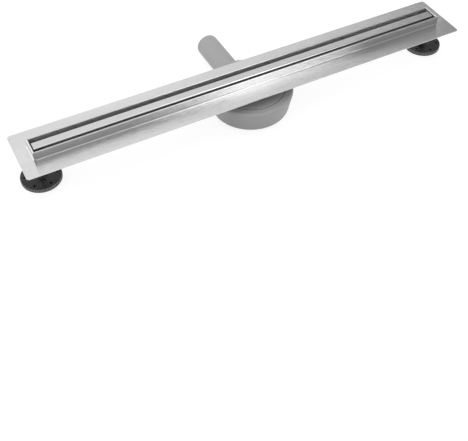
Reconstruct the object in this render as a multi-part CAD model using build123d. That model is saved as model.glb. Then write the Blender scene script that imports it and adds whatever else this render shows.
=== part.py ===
from build123d import *
import math
import os

# Linear shower drain, in millimetres.
# The origin is the centre of the flange's top plane, where the tiler's membrane is glued.
# +X runs along the channel, +Y along the outlet pipe, +Z up to the finished floor.

# Driving dimensions of the stainless channel
length = 1000.0
flange_width = 130.0
flange_corner_radius = 6.0
sheet = 1.5
end_flange_width = 28.25
frame_width = 44.3
frame_height = 18.3
hem_gap = 0.4
hem_flat = 0.02
flange_bend_radius = 2.5
floor_bend_radius = 1.5
floor_depth_end = 9.5
floor_depth_middle = 16.0
level_floor_length = 150.0

# Outlet slot in the channel floor, and the rubber gasket under it
slot_length = 94.0
slot_width = 26.5
slot_corner_radius = 11.0
gasket_length = 134.0
gasket_width = 33.0
gasket_thickness = 2.0
gasket_corner_radius = 11.0

# Grate bar and its end supports
bar_width = 19.0
bar_sheet = 1.5
bar_bend_radius = 0.7
bar_height = 17.0
bar_recess = 2.2
bar_end_gap = 2.5
support_length = 14.0
support_shoulder_height = 4.0
support_recess_radius = 2.0
support_recess_depth = 1.5

# Siphon cover, fixed under the channel; the whole siphon sits a little off the channel's middle
siphon_offset = 3.5
cover_overhang = 3.2
cover_thickness = 3.0
cover_rim_chamfer = 1.0
skirt_radius = 70.0
skirt_wall = 3.5
skirt_depth = 16.5
bead_height = 2.5
bead_reach = 2.4
finger_slot_width = 4.0
finger_slot_count = 8
throat_wall = 2.5
throat_depth = 14.5
throat_inset_x = 6.0
throat_inset_y = 0.45
swivel_seal_section = 2.6
swivel_seal_stand = 0.3
swivel_seal_depth = 5.0
finger_slot_margin = 2.0

# Swivelling siphon bowl with its outlet spigot
bowl_shoulder = 18.8
bowl_narrowing = 23.0
bowl_tip_offset = 30.0
bowl_taper = 9.5
bowl_wall = 3.0
bowl_depth = 50.0
bowl_edge_radius = 5.0
bowl_foot_radius = 8.0
bowl_top_step = 0.6
collar_wall = 3.0
spigot_radius = 25.0
spigot_wall = 2.0
spigot_end = 205.0
spigot_drop = 0.7
spigot_root = 22.0
spigot_root_step = 0.5
spigot_root_end = 2.0
spigot_chamfer = 3.0
spigot_chamfer_angle = 15.0
weir_offset = 58.0
weir_wall = 2.5
weir_clearance = 1.5

# Removable trap insert
insert_wall = 2.0
insert_bottom_gap = 5.0
lip_overhang = 1.2
lip_thickness = 2.2
counterbore_depth = 2.5
grip_radius = 10.6
grip_groove = 2.2
grip_knob_radius = 6.2
grip_depth = 12.0
grip_web = 2.0
seal_height = 3.0
seal_groove = 0.6
seal_drop = 7.0

# Fixing studs of the siphon
stud_radius = 2.5
stud_length = 11.5
stud_spacing_x = 112.0
stud_spacing_y = 20.0
stud_hole_gap = 0.3
nut_across_flats = 8.0
nut_height = 4.0
washer_radius = 5.0
washer_thickness = 1.0

# Adjustable feet
foot_inset = 7.75
foot_plane = -71.5
foot_radius = 41.0
rim_height = 10.0
rim_wall = 3.5
rim_chamfer = 1.0
knurl_count = 72
knurl_depth = 0.8
web_thickness = 3.0
rib_thickness = 2.5
rib_count = 6
hub_radius = 14.0
hub_height = 13.5
core_radius = 10.0
boss_radius = 8.2
boss_height = 21.5
socket_floor = 4.0
screw_hole_radius = 2.6
screw_hole_pcd = 64.0
screw_hole_count = 6
foot_turn_left = -11.0
foot_turn_right = 28.0
stem_radius = 4.0
stem_top_gap = 3.0
stem_chamfer = 0.8
sleeve_across_flats = 13.0
sleeve_length = 33.0
lock_nut_height = 5.0

# Named clearances
running_gap = 0.3
thread_gap = 0.05
seat_gap = 0.1

# Levels and half sizes that follow
half_frame = length / 2 - end_flange_width
hem_width = 2 * sheet + hem_gap
half_trough = half_frame - hem_width
inner_half_width = frame_width / 2 - hem_width
cover_top = -floor_depth_middle - sheet - gasket_thickness
cover_bottom = cover_top - cover_thickness
skirt_bottom = cover_bottom - skirt_depth
swivel_seal_top = cover_bottom - swivel_seal_depth
bowl_top = cover_top - bowl_top_step
bowl_bottom = bowl_top - bowl_depth
spigot_z = bowl_top - spigot_drop - spigot_radius
cover_radius = skirt_radius + cover_overhang
bowl_radius = cover_radius + bowl_shoulder
bowl_tip_radius = bowl_radius - bowl_narrowing
bowl_back = bowl_tip_offset + bowl_tip_radius
bar_top = frame_height - bar_recess
bar_length = 2 * (half_trough - bar_end_gap)
foot_x = half_frame - foot_inset
web_height = rim_height - web_thickness
insert_ledge = cover_top - counterbore_depth
insert_grow = -lip_overhang - running_gap


def export(shape, node):
    os.makedirs("parts", exist_ok=True)
    shape.label = node
    export_step(shape, f"parts/{node}.step")


def floor_level(x):
    """Top of the channel floor, which falls from each end to a level stretch at the outlet."""
    level_end = level_floor_length / 2
    share = max(0.0, abs(x) - level_end) / (half_trough - level_end)
    return -floor_depth_middle + share * (floor_depth_middle - floor_depth_end)


def prism(outline, bottom, top):
    """Upright solid of a flat outline between two levels."""
    return extrude(Plane.XY.offset(bottom) * outline, top - bottom)


def folded_points(flange_edge, outer_face, bottom):
    """Corners of the middle line of one folded edge: flange, upstand, hem and inner wall."""
    top = frame_height - sheet / 2
    outer_leaf = outer_face - sheet / 2
    inner_leaf = outer_face - hem_width + sheet / 2
    return [
        (flange_edge, -sheet / 2),
        (outer_leaf, -sheet / 2),
        (outer_leaf, top),
        (inner_leaf, top),
        (inner_leaf, bottom),
    ]


def hem_radius():
    """Middle-line radius of the fold over the top, just under half the distance of its leaves."""
    return (sheet + hem_gap) / 2 - hem_flat / 2


def channel_section(x):
    """Cross section of the folded sheet at one place along the channel."""
    half = folded_points(flange_width / 2, frame_width / 2, floor_level(x) - sheet / 2)
    points = [(-y, z) for y, z in half] + half[::-1]
    bends = [flange_bend_radius + sheet / 2, hem_radius(), hem_radius(), floor_bend_radius + sheet / 2]
    line = FilletPolyline(*points, radius=bends + bends[::-1])
    return Plane.YZ.offset(x) * trace(line, sheet)


def channel_profile():
    """Long folded sheet: both side flanges, both upstands and the trough with its falling floor."""
    stations = [-half_trough, -level_floor_length / 2, level_floor_length / 2, half_trough]
    trough = loft([channel_section(x) for x in stations], ruled=True)
    arm = length / 2 - half_trough
    strip_width = (flange_width - frame_width) / 2
    for side_x in (-1, 1):
        for side_y in (-1, 1):
            centre_x = side_x * (half_trough + arm / 2)
            centre_y = side_y * (frame_width / 2 + strip_width / 2)
            trough += Pos(centre_x, centre_y, -sheet / 2) * Box(arm, strip_width, sheet)
    slot = RectangleRounded(slot_length, slot_width, slot_corner_radius)
    slot_bottom = -floor_depth_middle - 2 * sheet
    trough -= Pos(siphon_offset, 0, 0) * prism(slot, slot_bottom, slot_bottom + 4 * sheet)
    corners = trough.edges().filter_by(Axis.Z).filter_by(
        lambda e: abs(e.center().X) > length / 2 - sheet and abs(e.center().Y) > flange_width / 2 - sheet
    )
    return fillet(corners, flange_corner_radius)


def end_plate(side):
    """End strip: flange, folded upstand and the wall that closes the trough."""
    points = folded_points(length / 2, half_frame, floor_level(half_trough) - sheet)
    bends = [flange_bend_radius + sheet / 2, hem_radius(), hem_radius()]
    line = FilletPolyline(*[(side * x, z) for x, z in points], radius=bends)
    return extrude(Plane.XZ * trace(line, sheet), frame_width / 2, both=True)


def grate_bar():
    """Inverted channel that covers the middle of the opening and leaves a slot each side."""
    side = bar_width / 2 - bar_sheet / 2
    top = bar_top - bar_sheet / 2
    bottom = bar_top - bar_height
    bend = bar_bend_radius + bar_sheet / 2
    line = FilletPolyline((-side, bottom), (-side, top), (side, top), (side, bottom), radius=bend)
    return extrude(Plane.YZ * trace(line, bar_sheet), bar_length / 2, both=True)


def grate_support(side):
    """Moulded block across the channel end: a tongue inside the bar, a groove for each leg."""
    width = 2 * (inner_half_width - running_gap)
    outer = half_trough - running_gap
    centre = side * (outer - support_length / 2)
    base = floor_level(outer)
    shoulder = support_shoulder_height
    body = Pos(centre, 0, (base + shoulder) / 2) * Box(support_length, width, shoulder - base)
    tongue_width = bar_width - 2 * bar_sheet - 2 * running_gap
    tongue_top = bar_top - bar_sheet
    tongue = Pos(centre, 0, (base + tongue_top) / 2) * Box(support_length, tongue_width, tongue_top - base)
    body += chamfer(tongue.edges().filter_by(Axis.X).group_by(Axis.Z)[-1], bar_bend_radius)
    groove_width = bar_sheet + 2 * running_gap
    groove_floor = bar_top - bar_height - seat_gap
    for leg in (-1, 1):
        groove_y = leg * (bar_width / 2 - bar_sheet / 2)
        groove = Box(support_length * 2, groove_width, shoulder - groove_floor + 1)
        body -= Pos(centre, groove_y, groove_floor + (shoulder - groove_floor + 1) / 2) * groove
        spot_y = leg * (bar_width / 2 + inner_half_width) / 2
        body -= Pos(centre, spot_y, shoulder) * Cylinder(support_recess_radius, support_recess_depth * 2)
    lower_edges = body.edges().filter_by(Axis.X).group_by(Axis.Z)[0]
    return chamfer(lower_edges, floor_bend_radius)


def stud_points():
    """Places of the four studs, at the ends of the outlet slot."""
    return [
        (sx * stud_spacing_x / 2, sy * stud_spacing_y / 2)
        for sx in (-1, 1)
        for sy in (-1, 1)
    ]


def throat_outline(grow):
    """Rounded oblong of the siphon's throat, grown or shrunk all round."""
    along = slot_length - 2 * throat_inset_x + 2 * grow
    across = slot_width - 2 * throat_inset_y + 2 * grow
    return RectangleRounded(along, across, slot_corner_radius - throat_inset_y + grow)


def outlet_gasket():
    """Flat rubber gasket between the channel floor and the siphon cover."""
    outline = RectangleRounded(gasket_length, gasket_width, gasket_corner_radius)
    gasket = prism(outline, cover_top, cover_top + gasket_thickness)
    gasket -= prism(throat_outline(0), cover_top - 1, cover_top + gasket_thickness + 1)
    for x, y in stud_points():
        gasket -= Pos(x, y, cover_top) * Cylinder(stud_radius + stud_hole_gap, gasket_thickness * 3)
    return gasket


def siphon_cover():
    """Round cover with the oblong throat, the sealed skirt and its snap fingers."""
    inner = skirt_radius - skirt_wall
    groove_radius = skirt_radius + swivel_seal_stand - swivel_seal_section
    groove_bottom = swivel_seal_top - swivel_seal_section
    profile = [
        (0, cover_top),
        (cover_radius, cover_top),
        (cover_radius, cover_bottom),
        (skirt_radius, cover_bottom),
        (skirt_radius, swivel_seal_top),
        (groove_radius, swivel_seal_top),
        (groove_radius, groove_bottom),
        (skirt_radius, groove_bottom),
        (skirt_radius, skirt_bottom + bead_height),
        (skirt_radius + bead_reach, skirt_bottom + bead_height),
        (skirt_radius, skirt_bottom),
        (inner, skirt_bottom),
        (inner, cover_bottom),
        (0, cover_bottom),
    ]
    cover = revolve(Plane.XZ * make_face(Polyline(*profile, close=True)), Axis.Z)
    rim = cover.edges().filter_by(GeomType.CIRCLE).group_by(Axis.Z)[-1]
    cover = chamfer(rim, cover_rim_chamfer)
    cover += prism(throat_outline(throat_wall - lip_overhang), cover_bottom - throat_depth, cover_bottom)
    cover -= prism(throat_outline(0), cover_top - counterbore_depth, cover_top + 1)
    cover -= prism(throat_outline(-lip_overhang), cover_bottom - throat_depth - 1, cover_top)
    for x, y in stud_points():
        cover -= Pos(x, y, cover_top) * Cylinder(stud_radius + stud_hole_gap, cover_thickness * 3)
    slot_top = groove_bottom - finger_slot_margin
    for turn in range(finger_slot_count):
        cutter = Pos(skirt_radius, 0, (slot_top + skirt_bottom - 1) / 2) * Box(
            skirt_wall * 4, finger_slot_width, slot_top - skirt_bottom + 1
        )
        cover -= Rot(0, 0, (turn + 0.5) * 360 / finger_slot_count) * cutter
    return cover


def swivel_seal():
    """Rubber ring in the skirt's groove, which seals the bowl as it turns."""
    half = swivel_seal_section / 2
    section = RectangleRounded(swivel_seal_section, swivel_seal_section, half / 2)
    ring = Plane.XZ * Pos(skirt_radius + swivel_seal_stand - half, swivel_seal_top - half) * section
    return revolve(ring, Axis.Z)


def bowl_form(inset, top, bottom, top_round, bottom_round):
    """Round tapered bowl drawn out to an egg: two revolved sectors joined by straight flanks."""
    def half_section(radius):
        shrink = bowl_taper / bowl_depth
        outline = Polyline(
            (0, top),
            (radius - inset - shrink * (bowl_top - top), top),
            (radius - inset - shrink * (bowl_top - bottom), bottom),
            (0, bottom),
            close=True,
        )
        face = make_face(outline)
        foot = face.vertices().sort_by(Axis.Y)[:2].sort_by(Axis.X)[-1]
        face = fillet(foot, bottom_round)
        if top_round > 0:
            shoulder = face.vertices().sort_by(Axis.Y)[-2:].sort_by(Axis.X)[-1]
            face = fillet(shoulder, top_round)
        return Plane.XZ * face

    step = bowl_radius - bowl_tip_radius
    spread = math.degrees(math.acos(step / bowl_tip_offset))
    flank_length = math.sqrt(bowl_tip_offset**2 - step**2)
    turn = Rot(0, 0, 90 - spread)
    along = Vector(math.cos(math.radians(180 - spread)), math.sin(math.radians(180 - spread)))
    front = revolve(Rot(0, 0, 90 + spread) * half_section(bowl_radius), Axis.Z, 360 - 2 * spread)
    tip = revolve(turn * half_section(bowl_tip_radius), Axis.Z, 2 * spread)
    flank = extrude(turn * half_section(bowl_radius), flank_length, dir=along)
    return front + Pos(0, bowl_tip_offset, 0) * tip + flank + mirror(flank, about=Plane.YZ)


def spigot_form():
    """Solid outside of the plain pipe end, tapered at its tip to enter a socket."""
    tip = spigot_radius - spigot_chamfer * math.tan(math.radians(spigot_chamfer_angle))
    outline = Polyline(
        (0, bowl_back - spigot_root),
        (spigot_radius - spigot_root_step, bowl_back - spigot_root),
        (spigot_radius, bowl_back + spigot_root_end),
        (spigot_radius, spigot_end - spigot_chamfer),
        (tip, spigot_end),
        (0, spigot_end),
        close=True,
    )
    return Pos(0, 0, spigot_z) * revolve(make_face(outline), Axis.Y)


def siphon_bowl():
    """Moulded bowl with its collar, weir and outlet spigot, which turns under the cover."""
    bowl = bowl_form(0, bowl_top, bowl_bottom, bowl_edge_radius, bowl_foot_radius)
    bowl += spigot_form()
    cavity_bottom = bowl_bottom + bowl_wall
    cavity = bowl_form(bowl_wall, bowl_top - bowl_wall, cavity_bottom, 0, bowl_foot_radius - bowl_wall)
    weir_top = skirt_bottom - weir_clearance
    weir = Pos(0, weir_offset, (weir_top + cavity_bottom) / 2) * Box(
        4 * bowl_radius, weir_wall, weir_top - cavity_bottom
    )
    bowl -= cavity - weir
    bore_start = bowl_back - spigot_root + bowl_wall
    bore = Cylinder(spigot_radius - spigot_wall, spigot_end, align=(Align.CENTER, Align.CENTER, Align.MIN))
    bowl -= Pos(0, bore_start, spigot_z) * Rot(-90, 0, 0) * bore
    collar_inner = skirt_radius + swivel_seal_stand + running_gap
    mouth = cover_radius + running_gap
    ledge = cover_bottom - running_gap
    collar_bottom = skirt_bottom + bead_height + running_gap
    collar = prism(Circle(mouth + collar_wall), collar_bottom, bowl_top - bowl_wall / 2)
    bowl += collar
    bowl -= prism(Circle(mouth), ledge, bowl_top + 1)
    bowl -= prism(Circle(collar_inner), collar_bottom - 1, bowl_top + 1)
    return bowl


def trap_insert():
    """Removable dip tube with its lip, ring grip and knob."""
    tube_top = insert_ledge + lip_thickness
    tube_bottom = bowl_bottom + bowl_wall + insert_bottom_gap
    insert = prism(throat_outline(insert_grow), tube_bottom, insert_ledge)
    insert += prism(throat_outline(-running_gap), insert_ledge, tube_top)
    grip = prism(Circle(grip_radius), tube_top - grip_depth, tube_top)
    insert -= prism(throat_outline(insert_grow - insert_wall), tube_bottom - 1, tube_top + 1) - grip
    insert += grip
    web_top = tube_top - grip_depth + grip_web
    insert -= prism(Circle(grip_radius - grip_groove) - Circle(grip_knob_radius), web_top, tube_top)
    groove_top = insert_ledge - seal_drop
    groove = throat_outline(0) - throat_outline(insert_grow - seal_groove)
    return insert - prism(groove, groove_top - seal_height, groove_top)


def insert_seal():
    """Rubber band in the insert's groove, which seals it in the throat."""
    groove_top = insert_ledge - seal_drop
    band = throat_outline(-lip_overhang) - throat_outline(insert_grow - seal_groove)
    return prism(band, groove_top - seal_height, groove_top)


def hexagon(across_flats):
    """Hexagon outline given by its spanner size."""
    return RegularPolygon(across_flats / 2, 6, major_radius=False)


def siphon_studs():
    """Threaded studs welded to the underside of the channel floor."""
    top = -floor_depth_middle - sheet
    stud = prism(Circle(stud_radius), top - stud_length, top)
    return Compound([Pos(x, y, 0) * stud for x, y in stud_points()])


def siphon_washers():
    """Flat washers between the siphon cover and its nuts."""
    ring = Circle(washer_radius) - Circle(stud_radius + stud_hole_gap)
    washer = prism(ring, cover_bottom - washer_thickness, cover_bottom)
    return Compound([Pos(x, y, 0) * washer for x, y in stud_points()])


def siphon_nuts():
    """Hexagon nuts that clamp the siphon cover against the gasket."""
    top = cover_bottom - washer_thickness
    nut = prism(hexagon(nut_across_flats) - Circle(stud_radius), top - nut_height, top)
    return Compound([Pos(x, y, 0) * nut for x, y in stud_points()])


def foot_pad(side):
    """Moulded foot: knurled disc on a rim and ribs, raised hub with the stem's socket."""
    web_top = foot_plane + rim_height
    web_bottom = foot_plane + web_height
    profile = [
        (0, web_bottom),
        (foot_radius - rim_wall, web_bottom),
        (foot_radius - rim_wall, foot_plane),
        (foot_radius, foot_plane),
        (foot_radius, web_top),
        (hub_radius, web_top),
        (boss_radius, foot_plane + hub_height),
        (boss_radius, foot_plane + boss_height),
        (0, foot_plane + boss_height),
    ]
    pad = revolve(Plane.XZ * make_face(Polyline(*profile, close=True)), Axis.Z)
    outer_rims = pad.edges().filter_by(GeomType.CIRCLE).filter_by(lambda e: abs(e.radius - foot_radius) < 0.01)
    pad = chamfer(outer_rims, rim_chamfer)
    pad += prism(Circle(core_radius), foot_plane, web_bottom)
    for turn in range(rib_count):
        rib_length = foot_radius - rim_wall
        rib = Pos(rib_length / 2, 0, foot_plane + web_height / 2) * Box(rib_length, rib_thickness, web_height)
        pad += Rot(0, 0, (turn + 0.5) * 360 / rib_count) * rib
        angle = math.radians(turn * 360 / screw_hole_count)
        hole_x = screw_hole_pcd / 2 * math.cos(angle)
        hole_y = screw_hole_pcd / 2 * math.sin(angle)
        pad -= Pos(hole_x, hole_y, web_top) * Cylinder(screw_hole_radius, web_thickness * 4)
    teeth = []
    for tooth in range(knurl_count):
        for radius, share in ((foot_radius, 0.0), (foot_radius - knurl_depth, 0.5)):
            angle = 2 * math.pi * (tooth + share) / knurl_count
            teeth.append((radius * math.cos(angle), radius * math.sin(angle)))
    pad &= prism(make_face(Polyline(*teeth, close=True)), foot_plane, foot_plane + boss_height)
    socket_bottom = foot_plane + socket_floor
    pad -= prism(Circle(stem_radius), socket_bottom, foot_plane + boss_height + 1)
    turned = foot_turn_left if side < 0 else foot_turn_right
    return Pos(side * foot_x, 0, 0) * Rot(0, 0, turned) * pad


def sleeve_top():
    """Underside of the channel floor above a foot."""
    return floor_level(foot_x) - sheet


def foot_stem(side):
    """Steel stem: screwed into the sleeve above and moulded into the pad below."""
    bottom = foot_plane + socket_floor
    top = sleeve_top() - stem_top_gap
    stem = prism(Circle(stem_radius), bottom, top)
    ends = stem.edges().filter_by(GeomType.CIRCLE).group_by(Axis.Z)[-1]
    stem = chamfer(ends, stem_chamfer)
    return Pos(side * foot_x, 0, 0) * stem


def foot_sleeve(side, channel):
    """Long threaded sleeve, welded under the channel floor and cut to its fall."""
    ring = hexagon(sleeve_across_flats) - Circle(stem_radius + thread_gap)
    top = sleeve_top()
    sleeve = Pos(side * foot_x, 0, 0) * prism(ring, top - sleeve_length, top + sheet / 2)
    trimmed = sleeve - channel - end_plate(side)
    return trimmed.solids().sort_by(SortBy.VOLUME)[-1]


def foot_lock_nut(side):
    """Thin nut that locks the stem against the sleeve."""
    ring = hexagon(sleeve_across_flats) - Circle(stem_radius + thread_gap)
    top = sleeve_top() - sleeve_length
    nut = prism(ring, top - lock_nut_height, top)
    return Pos(side * foot_x, 0, 0) * nut


channel = channel_profile()
export(channel, "channel_profile")
export(grate_bar(), "grate_bar")
for siphon_piece in (
    outlet_gasket, siphon_studs, siphon_washers, siphon_nuts, siphon_cover,
    swivel_seal, siphon_bowl, trap_insert, insert_seal,
):
    export(Pos(siphon_offset, 0, 0) * siphon_piece(), siphon_piece.__name__)
for name, side in (("left", -1), ("right", 1)):
    export(end_plate(side), f"end_plate_{name}")
    export(grate_support(side), f"grate_support_{name}")
    export(foot_sleeve(side, channel), f"foot_sleeve_{name}")
    export(foot_lock_nut(side), f"foot_lock_nut_{name}")
    export(foot_stem(side), f"foot_stem_{name}")
    export(foot_pad(side), f"foot_pad_{name}")
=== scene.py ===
import math

import bpy
from mathutils import Matrix, Vector


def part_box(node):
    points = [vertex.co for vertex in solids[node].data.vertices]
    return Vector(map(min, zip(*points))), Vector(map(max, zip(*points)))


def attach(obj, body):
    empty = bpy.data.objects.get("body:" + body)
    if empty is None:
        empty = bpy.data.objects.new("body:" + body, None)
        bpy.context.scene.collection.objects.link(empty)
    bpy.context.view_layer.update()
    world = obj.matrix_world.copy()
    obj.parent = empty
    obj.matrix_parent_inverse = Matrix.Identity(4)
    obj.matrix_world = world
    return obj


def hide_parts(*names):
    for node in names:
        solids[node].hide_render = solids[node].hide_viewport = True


# Linear shower drain, dressed for its portrait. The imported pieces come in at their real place,
# with the origin in the middle of the flange's top plane and the outlet pipe along +Y.
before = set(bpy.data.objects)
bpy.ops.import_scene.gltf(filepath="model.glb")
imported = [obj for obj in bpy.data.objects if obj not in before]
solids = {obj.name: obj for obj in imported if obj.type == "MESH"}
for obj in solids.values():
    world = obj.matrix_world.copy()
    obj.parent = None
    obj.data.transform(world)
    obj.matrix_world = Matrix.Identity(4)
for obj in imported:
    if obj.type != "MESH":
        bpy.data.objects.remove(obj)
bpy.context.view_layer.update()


# Camera: it looks down on the channel from the left front, with the left end nearest.
camera_turn = math.radians(-28.348)
camera_rise = math.radians(49.564)
camera_roll = math.radians(0.501)
camera_distance = 1.555142
camera_aside = 0.031720
camera_above = 0.294185
camera_lens = 57.261
camera_film_width = 36

back = Vector((
    math.sin(camera_turn) * math.cos(camera_rise),
    -math.cos(camera_turn) * math.cos(camera_rise),
    math.sin(camera_rise),
))
level_right = Vector((math.cos(camera_turn), math.sin(camera_turn), 0))
level_up = back.cross(level_right)
right = math.cos(camera_roll) * level_right + math.sin(camera_roll) * level_up
up = back.cross(right)

camera_place = camera_distance * back - camera_aside * right - camera_above * up
bpy.ops.object.camera_add(location=camera_place)
camera = bpy.context.object
camera.name = "portrait_camera"
camera.rotation_euler = Matrix((right, up, back)).transposed().to_euler()
camera.data.sensor_width = camera_film_width
camera.data.lens = camera_lens
camera.data.dof.use_dof = False
bpy.context.scene.camera = camera


# Stainless channel: one sheet folded lengthwise into flanges, upstands and trough, with an end
# plate welded in at each end. The sheet is brushed along the channel, so its fine lines stretch
# every reflection across them, and the welds at the flange corners are ground to a faint seam.
class Wire:
    """A value in a finish's nodes, on which arithmetic adds the Math nodes."""

    def __init__(self, finish, socket):
        self.finish = finish
        self.socket = socket

    def math(self, operation, first, second=0.0):
        settings = {"operation": operation}
        return self.finish.node("ShaderNodeMath", settings, {0: first, 1: second})

    def __add__(self, other):
        return self.math("ADD", self, other)

    def __mul__(self, other):
        return self.math("MULTIPLY", self, other)

    def __sub__(self, other):
        return self.math("SUBTRACT", self, other)

    def __rsub__(self, other):
        return self.math("SUBTRACT", other, self)

    def __gt__(self, other):
        return self.math("GREATER_THAN", self, other)

    def __lt__(self, other):
        return self.math("LESS_THAN", self, other)

    def __or__(self, other):
        return self.math("MAXIMUM", self, other)

    def __abs__(self):
        return self.math("ABSOLUTE", self)

    __radd__ = __add__
    __rmul__ = __mul__


class Finish:
    """A material or a room, built node by node. Places are the piece's own, in metres."""

    def __init__(self, name, library=bpy.data.materials, shader="Principled BSDF", **surface):
        self.material = library.new(name)
        self.material.use_nodes = True
        self.tree = self.material.node_tree
        self.shader = self.tree.nodes[shader]
        self.place = self.node("ShaderNodeTexCoord", output="Object")
        self.set(**surface)

    def feed(self, socket, value):
        if isinstance(value, Wire):
            self.tree.links.new(value.socket, socket)
        else:
            socket.default_value = value

    def set(self, **surface):
        """Sets the shader's own sockets; Base_Color stands for Base Color."""
        for key, value in surface.items():
            self.feed(self.shader.inputs[key.replace("_", " ")], value)

    def node(self, kind, settings={}, values={}, output=0):
        made = self.tree.nodes.new(kind)
        for key, value in settings.items():
            setattr(made, key, value)
        for key, value in values.items():
            self.feed(made.inputs[key], value)
        return Wire(self, made.outputs[output])

    def noise(self, per_metre, detail=2.0, roughness=0.5):
        """Noise from 0 to 1 with its own fineness along X, Y and Z. The turn keeps the noise's own
        lattice from lining up in bands across drawn-out lines."""
        lattice_turn = (0.5, 0.6, 0.7)
        values = {"Vector": self.place, "Scale": per_metre, "Rotation": lattice_turn}
        spread = self.node("ShaderNodeMapping", {}, values)
        values = {"Vector": spread, "Scale": 1.0, "Detail": detail, "Roughness": roughness}
        return self.node("ShaderNodeTexNoise", {}, values)

    def axis(self, letter):
        return self.node("ShaderNodeSeparateXYZ", {}, {0: self.place}, output=letter)

    def blend(self, factor, first, second):
        """Colour that goes from the first to the second as the factor goes from 0 to 1."""
        values = {0: factor, 6: first, 7: second}
        return self.node("ShaderNodeMix", {"data_type": "RGBA"}, values, output=2)

    def span(self, value, low, high, start=0.0, end=1.0):
        """The value's stretch from low to high, spread evenly from start to end."""
        values = {0: value, 1: low, 2: high, 3: start, 4: end}
        return self.node("ShaderNodeMapRange", {"clamp": True}, values)

    def grain(self, run, slow, fast, detail=2.0, roughness=0.5):
        """Noise drawn out along the run, which is X or Y, with its fineness along and across."""
        per_metre = (slow, fast, fast) if run == "X" else (fast, slow, fast)
        return self.noise(per_metre, detail, roughness)

    def brush(self, run, spread):
        """Grinding lines: each point's normal is tilted about the run by up to half the spread."""
        lines = self.grain(run, slow=60, fast=15000)
        normal = self.node("ShaderNodeNewGeometry", output="Normal")
        values = {"Vector": normal, "Angle": (lines - 0.5) * spread}
        turned = self.node("ShaderNodeVectorRotate", {"rotation_type": f"{run}_AXIS"}, values)
        self.set(Normal=turned)

    def relief(self, height, depth):
        """Surface relief, with the depth in metres."""
        self.set(Normal=self.node("ShaderNodeBump", {}, {"Height": height, "Distance": depth}))


def grey(level):
    return (level, level, level, 1)


def dress(node, finish):
    """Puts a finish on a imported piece."""
    material = finish.material
    mesh = solids[node].data
    if not mesh.materials:
        mesh.materials.append(material)
    for place in range(len(mesh.materials)):
        mesh.materials[place] = material


seam_half_width = 0.0003
seam_line = 0.02215
end_seam_start = 0.4717
seam_tone = grey(0.25)
seam_shade = 0.1
seam_dullness = 0.08
inside_half_width = 0.0192
inside_half_length = 0.4688
inside_dullness = 0.35
sheet_dark = grey(0.59)
sheet_light = grey(0.67)
sheet_spread = 1.5
inside_extra_spread = 1.2


def ground_sheet(name, run):
    """Stainless sheet ground along the run. The inside of the trough is ground more roughly."""
    finish = Finish(name, Metallic=1.0)
    hairlines = finish.grain(run, slow=14, fast=1500, detail=3.0, roughness=0.6)
    streaks = finish.grain(run, slow=3, fast=160, detail=3.0)
    clouds = finish.noise((9, 9, 9))
    across = abs(finish.axis("Y"))
    along = abs(finish.axis("X"))
    inside = (across < inside_half_width) * (along < inside_half_length)
    seam = (abs(across - seam_line) < seam_half_width) * (along > end_seam_start)
    depth = finish.span(hairlines * 0.6 + streaks * 0.4, 0.25, 0.75)
    tone = finish.blend(depth, sheet_dark, sheet_light)
    dullness = finish.span(hairlines * 0.3 + clouds * 0.7, 0.3, 0.7, start=0.07, end=0.1)
    finish.set(
        Base_Color=finish.blend(seam * seam_shade, tone, seam_tone),
        Roughness=dullness + seam * seam_dullness + inside * inside_dullness,
    )
    finish.brush(run, sheet_spread + inside * inside_extra_spread)
    return finish


channel_finish = ground_sheet("brushed_channel_steel", "X")
end_finish = ground_sheet("brushed_end_steel", "Y")
dress("channel_profile", channel_finish)
dress("end_plate_left", end_finish)
dress("end_plate_right", end_finish)


# Grate bar: a narrow inverted channel of the same sheet, laid in the middle of the opening.
# Its top is ground like the channel, and its folds carry finer brush lines, so the lamps draw a
# bright stripe along them; the folds' colour is also lightened as a painted highlight on that
# stripe.
bar_flat_half_width = 0.0074
fold_start = 0.0142
bar_flat_spread = 1.2
bar_fold_spread = 0.15
bar_dark = grey(0.53)
bar_light = grey(0.6)
# Lighter colour on the bar's folds: a painted highlight.
bar_fold_painted_highlight_tone = grey(0.78)

bar_finish = Finish("satin_bar_steel", Metallic=1.0)
bar_lines = bar_finish.noise((10, 1800, 1800), detail=3.0, roughness=0.6)
bar_clouds = bar_finish.noise((7, 40, 40))
past_flat = abs(bar_finish.axis("Y")) > bar_flat_half_width
folded = past_flat * (bar_finish.axis("Z") > fold_start)
bar_tone = bar_finish.blend(bar_finish.span(bar_lines, 0.3, 0.7), bar_dark, bar_light)
# The folds get the lighter colour as a painted highlight, on top of the ground tone.
bar_finish.set(
    Base_Color=bar_finish.blend(folded, bar_tone, bar_fold_painted_highlight_tone),
    Roughness=bar_finish.span(bar_clouds, 0.3, 0.7, start=0.12, end=0.16),
)
bar_finish.brush("X", bar_flat_spread - folded * (bar_flat_spread - bar_fold_spread))
dress("grate_bar", bar_finish)


# Grate supports: two black moulded blocks across the channel's ends, with a groove for each leg
# of the bar. They are plain plastic with the fine spark grain of the mould.
support_dark = grey(0.012)
support_light = grey(0.022)

support_finish = Finish("black_moulded_plastic")
spark_grain = support_finish.noise((1800, 1800, 1800))
support_finish.set(
    Base_Color=support_finish.blend(spark_grain, support_dark, support_light),
    Roughness=support_finish.span(spark_grain, 0.3, 0.7, start=0.4, end=0.55),
)
support_finish.relief(spark_grain, depth=0.00003)
dress("grate_support_left", support_finish)
dress("grate_support_right", support_finish)


# Seals: the flat gasket between channel and siphon, the ring in the cover's skirt and the band
# round the trap insert. All three are soft black rubber, dull and a little dusty.
rubber_black = grey(0.014)
rubber_dusty = grey(0.03)

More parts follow.
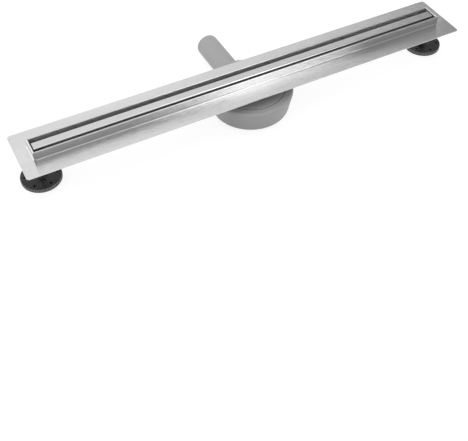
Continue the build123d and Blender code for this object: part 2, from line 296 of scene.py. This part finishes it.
rubber_finish = Finish("soft_black_rubber")
bloom = rubber_finish.noise((220, 220, 220), detail=4.0)
dust = rubber_finish.span(bloom, 0.35, 0.75)
rubber_finish.set(
    Base_Color=rubber_finish.blend(dust, rubber_black, rubber_dusty),
    Roughness=rubber_finish.span(bloom, 0.3, 0.7, start=0.62, end=0.8),
)
rubber_finish.relief(bloom, depth=0.00004)
for node in ("outlet_gasket", "swivel_seal", "insert_seal"):
    dress(node, rubber_finish)


# Siphon bowl and cover: moulded grey polypropylene, half gloss, with the faint cloudiness and
# flow marks of a large moulding. The bowl snaps onto the cover's skirt and turns round it, and a
# thin ring of painted shade darkens the gap between lid and bowl.
siphon_axis_x = 0.0035
gap_inner_radius = 0.0727
gap_outer_radius = 0.0739
gap_bottom = -0.0235
# Colour of the painted shade in the gap between lid and bowl.
gap_painted_shade_tone = grey(0.03)
siphon_dark = grey(0.385)
siphon_light = grey(0.4)


def reach_squared(x, y):
    """Square of the distance from an upright axis, from the distances along X and Y."""
    return x * x + y * y


siphon_finish = Finish("grey_moulded_plastic")
flow = siphon_finish.noise((14, 14, 30), detail=3.0)
pores = siphon_finish.noise((1500, 1500, 1500))
from_siphon = reach_squared(siphon_finish.axis("X") - siphon_axis_x, siphon_finish.axis("Y"))
# Ring of painted shade over the gap between lid and bowl.
painted_gap_shade = (from_siphon > gap_inner_radius**2) * (from_siphon < gap_outer_radius**2)
painted_gap_shade = painted_gap_shade * (siphon_finish.axis("Z") > gap_bottom)
siphon_tone = siphon_finish.blend(siphon_finish.span(flow, 0.3, 0.7), siphon_dark, siphon_light)
siphon_finish.set(
    Base_Color=siphon_finish.blend(painted_gap_shade, siphon_tone, gap_painted_shade_tone),
    Roughness=siphon_finish.span(flow * 0.6 + pores * 0.4, 0.3, 0.7, start=0.42, end=0.5),
)
siphon_finish.relief(pores, depth=0.000012)
dress("siphon_cover", siphon_finish)
dress("siphon_bowl", siphon_finish)


# Trap insert: a lift-out dip tube in a lighter polypropylene, with a ring grip round its knob.
# It is moulded in one piece, and hangs by its lip in the cover's throat.
insert_dark = grey(0.42)
insert_light = grey(0.46)

insert_finish = Finish("light_grey_moulded_plastic")
insert_flow = insert_finish.noise((40, 40, 40), detail=3.0)
insert_depth = insert_finish.span(insert_flow, 0.3, 0.7)
insert_finish.set(
    Base_Color=insert_finish.blend(insert_depth, insert_dark, insert_light),
    Roughness=insert_finish.span(insert_flow, 0.3, 0.7, start=0.32, end=0.42),
)
dress("trap_insert", insert_finish)


# Washers and foot sleeves: bright rolled steel, left as it comes from the maker. A washer lies
# between each nut and the siphon's cover, and a sleeve is welded under each end of the channel.
rolled_dark = grey(0.5)
rolled_light = grey(0.6)

fastener_finish = Finish("bright_fastener_steel", Metallic=1.0)
handling = fastener_finish.noise((300, 300, 300), detail=4.0)
handled = fastener_finish.span(handling, 0.3, 0.7)
fastener_finish.set(
    Base_Color=fastener_finish.blend(handled, rolled_dark, rolled_light),
    Roughness=fastener_finish.span(handling, 0.3, 0.7, start=0.22, end=0.38),
)
for node in ("siphon_washers", "foot_sleeve_left", "foot_sleeve_right"):
    dress(node, fastener_finish)


# Siphon fixings: four studs welded under the channel, each with a nut that pulls the siphon's
# cover up against the gasket. The thread is rolled, and it shows below each nut.
round_sides = 48
double_distance = 0.000002
thread_depth_per_pitch = 0.6
spare_turns = 2
blank_margin = 1.02
turned_off_share = 0.475
countersink_share = 1.12
smooth_below = math.radians(25)


def start(add, **settings):
    """Adds a primitive with nothing else selected, and gives back its object."""
    bpy.ops.object.select_all(action="DESELECT")
    add(**settings)
    return bpy.context.object


def select(piece, chosen):
    """Opens the piece in edit mode with only the chosen vertices selected."""
    bpy.ops.object.mode_set(mode="EDIT")
    bpy.ops.mesh.select_mode(type="VERT")
    bpy.ops.mesh.select_all(action="DESELECT")
    bpy.ops.object.mode_set(mode="OBJECT")
    for vertex in piece.data.vertices:
        vertex.select = chosen(vertex.co)
    bpy.ops.object.mode_set(mode="EDIT")


def cut(piece, tool, operation):
    """Cuts the piece with the tool, which is used up."""
    bpy.context.view_layer.objects.active = piece
    cutting = piece.modifiers.new("cutting", "BOOLEAN")
    cutting.operation = operation
    cutting.solver = "EXACT"
    cutting.object = tool
    bpy.ops.object.modifier_apply(modifier=cutting.name)
    bpy.data.objects.remove(tool)
    select(piece, lambda place: True)
    bpy.ops.mesh.remove_doubles(threshold=double_distance)
    bpy.ops.object.mode_set(mode="OBJECT")


def turned_blank(radius, bottom, top, taper, fall):
    """A round blank whose ends taper by so much in radius over so much in height."""
    middle = (top + bottom) / 2
    blank = start(
        bpy.ops.mesh.primitive_cylinder_add, vertices=round_sides, radius=radius,
        depth=top - bottom - 2 * fall, location=(0, 0, middle),
    )
    bpy.ops.object.transform_apply()
    shrink = (radius - taper) / radius
    for end in (-1, 1):
        select(blank, lambda place: (place.z - middle) * end > 0)
        step = {"value": (0, 0, end * fall)}
        bpy.ops.mesh.extrude_region_move(TRANSFORM_OT_translate=step)
        bpy.ops.transform.resize(value=(shrink, shrink, 1))
        bpy.ops.object.mode_set(mode="OBJECT")
    return blank


def threaded_rod(radius, bottom, top, pitch, steps):
    """A rod with a rolled thread on the Z axis, tapered at both ends. One ridge of the thread is
    wound along a helix, merged turn to turn, capped, and cut to length."""
    depth = thread_depth_per_pitch * pitch
    behind_root = radius - 1.5 * depth
    rod = start(
        bpy.ops.mesh.primitive_circle_add, vertices=4, radius=1,
        location=(radius - depth, 0, bottom - pitch), rotation=(math.pi / 2, 0, 0),
    )
    rod.scale = (depth, pitch / 2, 1)
    bpy.ops.object.transform_apply()
    select(rod, lambda place: place.x < behind_root)
    bpy.ops.mesh.delete(type="VERT")
    bpy.ops.object.mode_set(mode="OBJECT")
    helix = rod.modifiers.new("helix", "SCREW")
    helix.screw_offset = pitch
    helix.iterations = math.ceil((top - bottom) / pitch) + spare_turns
    helix.steps = steps
    helix.render_steps = steps
    bpy.ops.object.modifier_apply(modifier=helix.name)
    select(rod, lambda place: True)
    bpy.ops.mesh.remove_doubles(threshold=pitch / 100)
    bpy.ops.mesh.fill_holes(sides=0)
    bpy.ops.mesh.select_all(action="SELECT")
    bpy.ops.mesh.normals_make_consistent(inside=False)
    bpy.ops.object.mode_set(mode="OBJECT")
    cut(rod, turned_blank(blank_margin * radius, bottom, top, depth, depth), "INTERSECT")
    return rod


def hexagon_nut(across_flats, bottom, top, bore_radius):
    """A hexagon nut on the Z axis, with its corners turned off and its bore countersunk."""
    middle = (top + bottom) / 2
    corner = across_flats / math.sqrt(3)
    nut = start(
        bpy.ops.mesh.primitive_cylinder_add, vertices=6, radius=corner,
        depth=top - bottom, location=(0, 0, middle), rotation=(0, 0, math.pi / 6),
    )
    bpy.ops.object.transform_apply()
    blank_radius = blank_margin * corner
    taper = blank_radius - turned_off_share * across_flats
    cut(nut, turned_blank(blank_radius, bottom, top, taper, taper / 2), "INTERSECT")
    for end in (bottom, top):
        sink = start(
            bpy.ops.mesh.primitive_uv_sphere_add, segments=round_sides,
            ring_count=round_sides // 2, radius=countersink_share * bore_radius,
            location=(0, 0, end),
        )
        bpy.ops.object.transform_apply()
        cut(nut, sink, "DIFFERENCE")
    bore = start(
        bpy.ops.mesh.primitive_cylinder_add, vertices=round_sides, radius=bore_radius,
        depth=2 * (top - bottom), location=(0, 0, middle),
    )
    bpy.ops.object.transform_apply()
    cut(nut, bore, "DIFFERENCE")
    return nut


def place_copies(model, places, name):
    """Copies the model to each place, joins the copies and names the result."""
    copies = []
    for x, y in places:
        bpy.ops.object.select_all(action="DESELECT")
        model.select_set(True)
        bpy.context.view_layer.objects.active = model
        bpy.ops.object.duplicate()
        copy = bpy.context.object
        copy.location = (x, y, 0)
        copies.append(copy)
    for copy in copies:
        copy.select_set(True)
    bpy.context.view_layer.objects.active = copies[0]
    if len(copies) > 1:
        bpy.ops.object.join()
    bpy.ops.object.transform_apply()
    bpy.ops.object.shade_smooth_by_angle(angle=smooth_below)
    piece = bpy.context.object
    piece.name = name
    piece.data.name = name
    piece.data.materials.clear()
    piece.data.materials.append(fastener_finish.material)
    return piece


stud_reach_x = 0.056
stud_reach_y = 0.010
stud_radius = 0.0025
stud_bottom = -0.0290
stud_top = -0.0175
stud_pitch = 0.0008
siphon_nut_across_flats = 0.008
siphon_nut_bottom = -0.0275
siphon_nut_top = -0.0235

stud_places = [
    (siphon_axis_x + side_x * stud_reach_x, side_y * stud_reach_y)
    for side_x in (-1, 1)
    for side_y in (-1, 1)
]
stud = threaded_rod(stud_radius, stud_bottom, stud_top, stud_pitch, steps=16)
studs = place_copies(stud, stud_places, "threaded_siphon_studs")
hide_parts("siphon_studs")
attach(studs, "drain")
bpy.data.objects.remove(stud)

siphon_nut = hexagon_nut(siphon_nut_across_flats, siphon_nut_bottom, siphon_nut_top, stud_radius)
siphon_nuts = place_copies(siphon_nut, stud_places, "chamfered_siphon_nuts")
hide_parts("siphon_nuts")
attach(siphon_nuts, "drain")
bpy.data.objects.remove(siphon_nut)


# Foot pads: black glass-filled nylon, moulded glossy, with the knurled rim that is gripped to
# screw the foot in and out. The crests of the knurling are lightened as a painted glint.
foot_axis_x = 0.464
crest_radius = 0.04065
# Colour of the painted glint on the knurling's crests.
crest_painted_glint_tone = grey(0.24)
pad_dark = grey(0.01)
pad_light = grey(0.02)

pad_finish = Finish("black_glossy_nylon")
gloss_cloud = pad_finish.noise((90, 90, 90), detail=3.0)
from_pad = reach_squared(abs(pad_finish.axis("X")) - foot_axis_x, pad_finish.axis("Y"))
# Crests of the knurling, which get the painted glint.
painted_crest_glint = from_pad > crest_radius**2
pad_black = pad_finish.blend(gloss_cloud, pad_dark, pad_light)
pad_finish.set(
    Base_Color=pad_finish.blend(painted_crest_glint, pad_black, crest_painted_glint_tone),
    Roughness=pad_finish.span(gloss_cloud, 0.3, 0.7, start=0.22, end=0.32),
)
dress("foot_pad_left", pad_finish)
dress("foot_pad_right", pad_finish)


# Foot hardware: a threaded stem turns in the long sleeve under each end of the channel, and a
# lock nut holds it there. The sleeve is welded to the channel's floor with a rippled bead.
stem_radius = 0.0040
stem_pitch = 0.00125
stem_bottom, stem_top = (corner.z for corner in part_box("foot_stem_left"))
lock_nut_across_flats = 0.013
lock_nut_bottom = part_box("foot_lock_nut_left")[0].z
sleeve_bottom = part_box("foot_sleeve_left")[0].z
bead_radius = 0.0070
bead_half_thickness = 0.0010
bead_above_stem = 0.0027
bead_steps = 96
steps_per_ripple = 4
ripple_height = 0.00018

stem = threaded_rod(stem_radius, stem_bottom, stem_top, stem_pitch, steps=24)
lock_nut = hexagon_nut(lock_nut_across_flats, lock_nut_bottom, sleeve_bottom, stem_radius)
bead = start(
    bpy.ops.mesh.primitive_torus_add, major_segments=bead_steps, minor_segments=12,
    major_radius=bead_radius, minor_radius=bead_half_thickness,
    location=(0, 0, stem_top + bead_above_stem),
)
bpy.ops.object.transform_apply()


def on_ripple(place):
    """Whether a point of the bead lies on the crest of a ripple."""
    step = round(math.atan2(place.y, place.x) / math.tau * bead_steps)
    return step % steps_per_ripple == 0


select(bead, on_ripple)
bpy.ops.transform.shrink_fatten(value=ripple_height)
bpy.ops.object.mode_set(mode="OBJECT")

for side, direction in (("left", -1), ("right", 1)):
    where = [(direction * foot_axis_x, 0)]
    threaded_stem = place_copies(stem, where, f"threaded_stem_{side}")
    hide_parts(f"foot_stem_{side}")
    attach(threaded_stem, f"foot_{side}")
    chamfered_nut = place_copies(lock_nut, where, f"chamfered_lock_nut_{side}")
    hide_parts(f"foot_lock_nut_{side}")
    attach(chamfered_nut, "drain")
    weld = place_copies(bead, where, f"sleeve_weld_{side}")
    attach(weld, "drain")
for model in (stem, lock_nut, bead):
    bpy.data.objects.remove(model)


# Studio floor: white, in two halves. Each half stays under its own foot when the foot is screwed
# out, and it glows white to the camera and in mirrors, but not in the shade under a foot.
foot_shade_radius = 0.038
floor_half_width = 20
floor_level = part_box("foot_pad_left")[0].z
floor_tone = grey(0.85)
glow_strength = 1.2
glow_share = 0.7

floor_finish = Finish("white_floor", Base_Color=floor_tone, Roughness=0.9)
seen = floor_finish.node("ShaderNodeLightPath", output="Is Camera Ray")
mirrored = floor_finish.node("ShaderNodeLightPath", output="Is Glossy Ray")
through = floor_finish.node("ShaderNodeLightPath", output="Is Transmission Ray")
from_foot = reach_squared(abs(floor_finish.axis("X")) - foot_axis_x, floor_finish.axis("Y"))
away = from_foot > foot_shade_radius**2
glowing = (seen | mirrored | through) * away * glow_share
values = {"Color": grey(1), "Strength": glow_strength}
glow = floor_finish.node("ShaderNodeEmission", {}, values)
surface = Wire(floor_finish, floor_finish.shader.outputs[0])
mixed = floor_finish.node("ShaderNodeMixShader", {}, {0: glowing, 1: surface, 2: glow})
floor_finish.feed(floor_finish.tree.nodes["Material Output"].inputs["Surface"], mixed)
for side, direction in (("left", -1), ("right", 1)):
    floor = start(
        bpy.ops.mesh.primitive_plane_add, size=2 * floor_half_width,
        location=(direction * floor_half_width, 0, floor_level),
    )
    bpy.ops.object.transform_apply()
    floor.name = f"studio_floor_{side}"
    floor.data.materials.append(floor_finish.material)
    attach(floor, f"foot_{side}")


# Studio lamps: large dim panels behind, above and beside the drain, a narrow softbox at its right
# front that draws the bright stretch of the channel, and an even grey room that is white behind.
def softbox(name, place, aim, size, glow):
    """A rectangular lamp that faces the aim; its glow is the brightness seen in a mirror."""
    width, height = size
    bpy.ops.object.light_add(type="AREA", location=place)
    lamp = bpy.context.object
    lamp.name = name
    lamp.data.shape = "RECTANGLE"
    lamp.data.size = width
    lamp.data.size_y = height
    lamp.data.energy = 4 * glow * width * height
    lamp.rotation_euler = (Vector(place) - Vector(aim)).to_track_quat("Z", "Y").to_euler()


softbox("back_panel_wide", (0.3, 2.5, 2.2), aim=(0.3, 0, 2.2), size=(4.6, 4.2), glow=0.38)
softbox("back_panel_middle", (-0.1, 2.56, 2.2), aim=(-0.1, 0, 2.2), size=(4.0, 4.2), glow=0.08)
softbox("back_panel_left", (-0.5, 2.62, 2.2), aim=(-0.5, 0, 2.2), size=(3.0, 4.2), glow=0.1)
softbox("front_panel_left", (-0.3, -2.2, 1.8), aim=(-0.3, 0, 0), size=(3.2, 1.8), glow=0.12)
softbox("front_softbox", (0.89, -1.45, 1.38), aim=(0.16, 0, 0), size=(0.66, 2.2), glow=1.66)
softbox("ceiling_panel", (0, 0.2, 2.6), aim=(0, 0.2, 0), size=(2.6, 2.2), glow=0.62)
softbox("left_panel", (-2.6, 1.2, 1.1), aim=(0, 0.1, 0), size=(3.2, 2.6), glow=0.84)
softbox("right_panel", (2.4, 0.4, 0.8), aim=(0, 0, 0), size=(1.0, 1.0), glow=0.5)

room_light = 0.42
room = Finish("grey_room", bpy.data.worlds, "Background", Color=grey(1))
room_seen = room.node("ShaderNodeLightPath", output="Is Camera Ray")
room.set(Strength=room_seen * (1 - room_light) + room_light)
bpy.context.scene.world = room.material

bpy.context.scene.view_settings.view_transform = "Standard"
